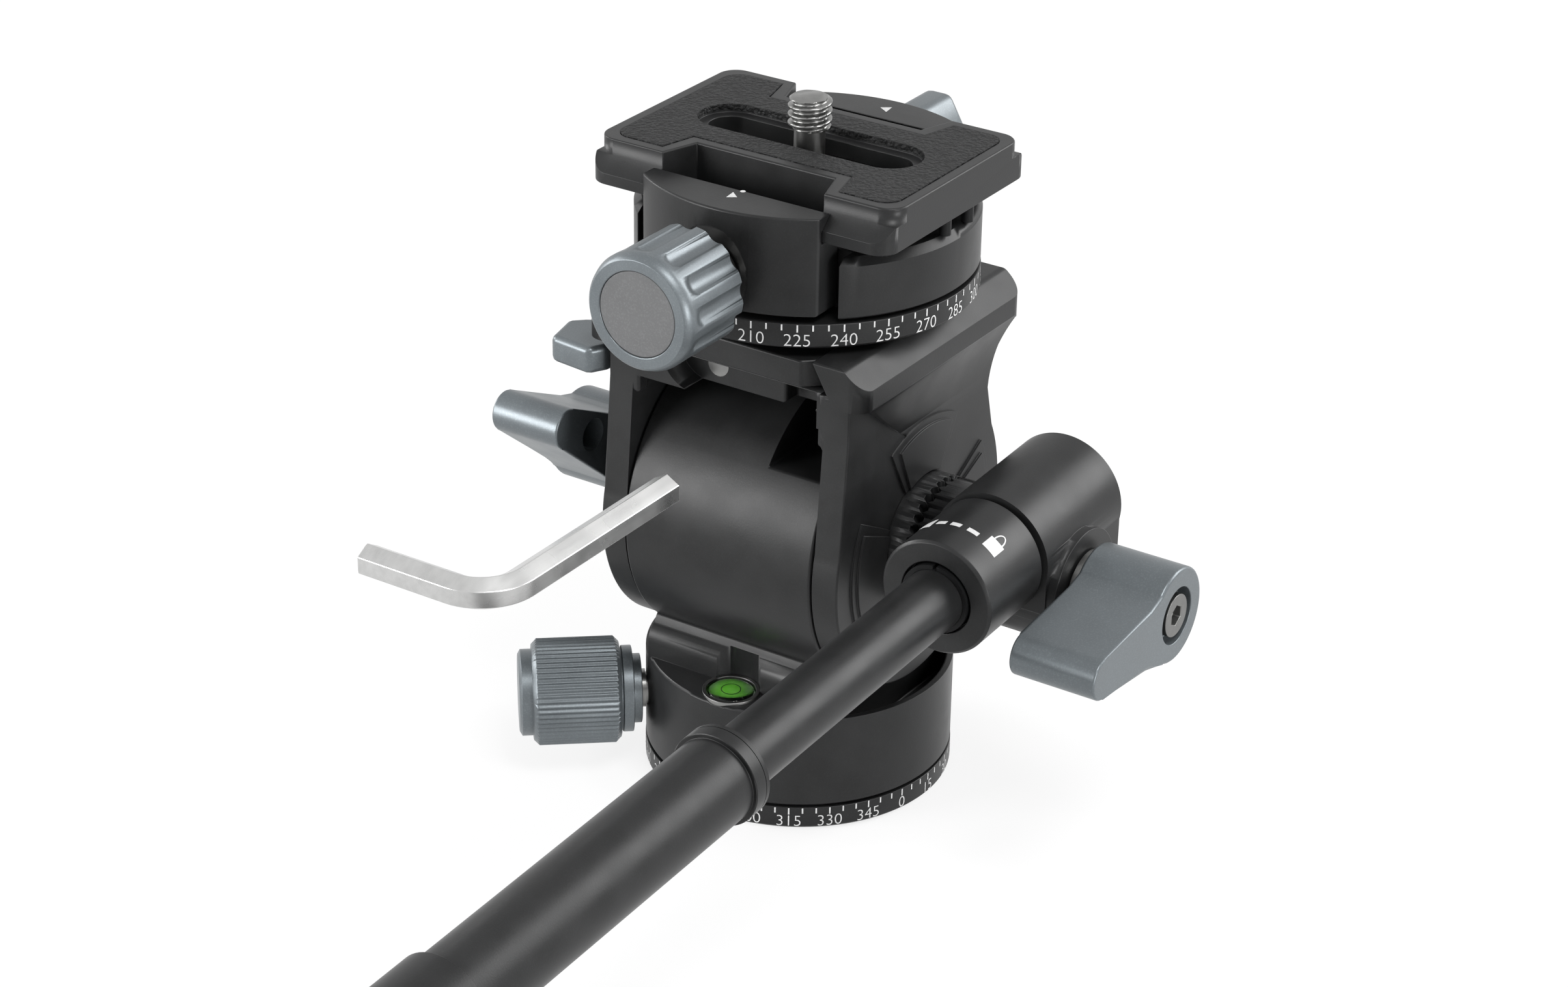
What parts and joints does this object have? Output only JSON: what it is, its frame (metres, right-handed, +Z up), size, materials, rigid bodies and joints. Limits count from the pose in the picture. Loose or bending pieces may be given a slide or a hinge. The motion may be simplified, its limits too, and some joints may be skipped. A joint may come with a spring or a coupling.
{
  "type": "fluid video head",
  "caption": "compact fluid video head with panning base, tilt drum, upper panning dovetail clamp, locking levers and a telescopic side handle",
  "frame": {"origin": "centre of the base's underside, at the mouth of the tripod thread", "axes": "+Z up along the pan axis, +X along the tilt axis towards the handle, -Y towards the user, +Y towards the lens"},
  "size_m": [0.1044, 0.2526, 0.1069],
  "materials": {
    "black_metal": "matte black anodised, fine grain",
    "dark_metal": "dark matte anodised",
    "grey_metal": "blue-grey satin anodised",
    "disc_metal": "flat matte grey anodised",
    "steel": "bright machined steel",
    "bronze": "plain bearing bronze",
    "black_rubber": "pebbled matte",
    "green_level": "clear green liquid"
  },
  "bodies": {
    "base": {"base_plate": "black_metal", "pan_scale_ring": "black_metal", "thread_insert": "steel", "base_screws": "steel", "pan_spindle": "steel", "pan_drag_disc": "bronze"},
    "pan": {"pan_housing": "black_metal", "pan_bearing": "bronze", "pan_retaining_ring": "steel", "pan_ring_screws": "steel", "bubble_vial": "green_level", "vial_ring": "steel", "drum_cap": "dark_metal", "tilt_bearings": "bronze", "drum_vanes": "bronze", "counterbalance_spring": "steel"},
    "pan_knob": {"pan_lock_knob": "grey_metal", "pan_lock_screw": "steel"},
    "pan_shoe": {"pan_brake_shoe": "bronze"},
    "tilt": {"yoke": "black_metal", "fixed_rosette": "black_metal", "tilt_shaft": "steel", "shaft_vanes": "steel", "key_magnet": "steel", "tilt_lock_boss": "dark_metal"},
    "tilt_lever": {"tilt_lock_lever": "grey_metal", "tilt_lever_screw": "steel"},
    "slide_lever": {"platform_lever": "grey_metal", "platform_lever_pin": "steel"},
    "slide_plunger": {"platform_plunger": "steel"},
    "platform": {"platform_block": "black_metal", "platform_screws": "steel", "top_scale_ring": "black_metal", "top_spindle": "steel"},
    "top_pan": {"clamp_body": "black_metal", "top_retaining_ring": "steel", "jaw_guide_pins": "steel"},
    "top_lever": {"top_lock_lever": "grey_metal", "top_lock_screw": "steel"},
    "top_shoe": {"top_brake_shoe": "bronze"},
    "jaw": {"front_jaw": "black_metal"},
    "main_knob": {"clamp_knob": "grey_metal", "clamp_knob_disc": "disc_metal", "clamp_screw": "steel"},
    "plate": {"qr_plate": "black_metal", "plate_pad": "black_rubber", "plate_stop_pins": "steel"},
    "screw_carrier": {"screw_washer": "steel"},
    "camera_screw": {"camera_screw": "steel"},
    "handle": {"handle_socket": "black_metal", "collet": "dark_metal"},
    "ratchet": {"ratchet_lever": "grey_metal", "ratchet_bolt": "steel", "ratchet_washer": "steel"},
    "collar": {"lock_collar": "black_metal"},
    "rod": {"thin_tube": "black_metal"},
    "mid": {"mid_tube": "black_metal"},
    "grip": {"grip_tube": "black_metal", "grip_end_cap": "dark_metal"},
    "hex_key": {"hex_key": "steel"}
  },
  "joints": [
    {"name": "pan_turn", "type": "hinge", "parent": "base", "child": "pan", "pos_m": [0, 0, 0.01], "axis": [0, 0, 1], "continuous": true},
    {"name": "pan_knob_turn", "type": "hinge", "parent": "pan", "child": "pan_knob", "pos_m": [0, 0, 0.01176], "axis": [-0.7727, -0.6347, 0], "range_deg": [0, 140]},
    {"name": "pan_shoe_press", "type": "slide", "parent": "pan", "child": "pan_shoe", "axis": [0.7727, 0.6347, 0], "range_m": [0, 0.0004]},
    {"name": "tilt_turn", "type": "hinge", "parent": "pan", "child": "tilt", "pos_m": [0, 0, 0.043], "axis": [1, 0, 0], "range_deg": [-90, 75]},
    {"name": "tilt_lever_turn", "type": "hinge", "parent": "tilt", "child": "tilt_lever", "pos_m": [-0.0355, 0, 0.043], "axis": [1, 0, 0], "range_deg": [-25, 45]},
    {"name": "slide_lever_turn", "type": "hinge", "parent": "tilt", "child": "slide_lever", "pos_m": [-0.0214, -0.012, 0.068], "axis": [0, 0, 1], "range_deg": [-40, 0]},
    {"name": "slide_plunger_press", "type": "slide", "parent": "tilt", "child": "slide_plunger", "axis": [1, 0, 0], "range_m": [0, 0.00025]},
    {"name": "platform_slide", "type": "slide", "parent": "tilt", "child": "platform", "axis": [0, 1, 0], "range_m": [-0.012, 0.012]},
    {"name": "top_pan_turn", "type": "hinge", "parent": "platform", "child": "top_pan", "pos_m": [0, 0, 0.0845], "axis": [0, 0, 1], "continuous": true},
    {"name": "top_lever_turn", "type": "hinge", "parent": "top_pan", "child": "top_lever", "pos_m": [0, 0.03, 0.0852], "axis": [0, 1, 0], "range_deg": [0, 140]},
    {"name": "top_shoe_press", "type": "slide", "parent": "top_pan", "child": "top_shoe", "axis": [0, -1, 0], "range_m": [0, 0.0003]},
    {"name": "jaw_slide", "type": "slide", "parent": "top_pan", "child": "jaw", "axis": [0, -1, 0], "range_m": [0, 0.003]},
    {"name": "main_knob_turn", "type": "hinge", "parent": "jaw", "child": "main_knob", "pos_m": [0, -0.035, 0.0886], "axis": [0, -1, 0], "range_deg": [0, 1080]},
    {"name": "plate_slide", "type": "slide", "parent": "top_pan", "child": "plate", "axis": [1, 0, 0], "range_m": [-0.01, 0.01]},
    {"name": "screw_slide", "type": "slide", "parent": "plate", "child": "screw_carrier", "axis": [1, 0, 0], "range_m": [-0.014, 0.014]},
    {"name": "camera_screw_turn", "type": "hinge", "parent": "screw_carrier", "child": "camera_screw", "pos_m": [0, 0, 0.0975], "axis": [0, 0, 1], "continuous": true},
    {"name": "handle_turn", "type": "hinge", "parent": "tilt", "child": "handle", "pos_m": [0.0375, 0, 0.043], "axis": [1, 0, 0], "continuous": true},
    {"name": "ratchet_turn", "type": "hinge", "parent": "handle", "child": "ratchet", "pos_m": [0.0561, 0, 0.043], "axis": [1, 0, 0], "range_deg": [-60, 60]},
    {"name": "collar_turn", "type": "hinge", "parent": "handle", "child": "collar", "pos_m": [0.0375, 0, 0.04974], "axis": [0, -0.9993, -0.0379], "range_deg": [0, 75]},
    {"name": "rod_slide", "type": "slide", "parent": "handle", "child": "rod", "axis": [0, -0.9993, -0.0379], "range_m": [0, 0.018]},
    {"name": "mid_slide", "type": "slide", "parent": "rod", "child": "mid", "axis": [0, 0.9993, 0.0379], "range_m": [0, 0.05]},
    {"name": "grip_slide", "type": "slide", "parent": "mid", "child": "grip", "axis": [0, 0.9993, 0.0379], "range_m": [0, 0.052]},
    {"name": "key_slide", "type": "slide", "parent": "tilt", "child": "hex_key", "axis": [0, 1, 0], "range_m": [0, 0.0722]}
  ],
  "couplings": [
    {"joint": "pan_shoe_press", "follows": "pan_knob_turn", "m_per_rad": 0.00012732},
    {"joint": "slide_plunger_press", "follows": "slide_lever_turn", "m_per_rad": -0.00028648},
    {"joint": "top_shoe_press", "follows": "top_lever_turn", "m_per_rad": 0.00011141},
    {"joint": "main_knob_turn", "follows": "jaw_slide", "rad_per_m": 6283.2}
  ]
}
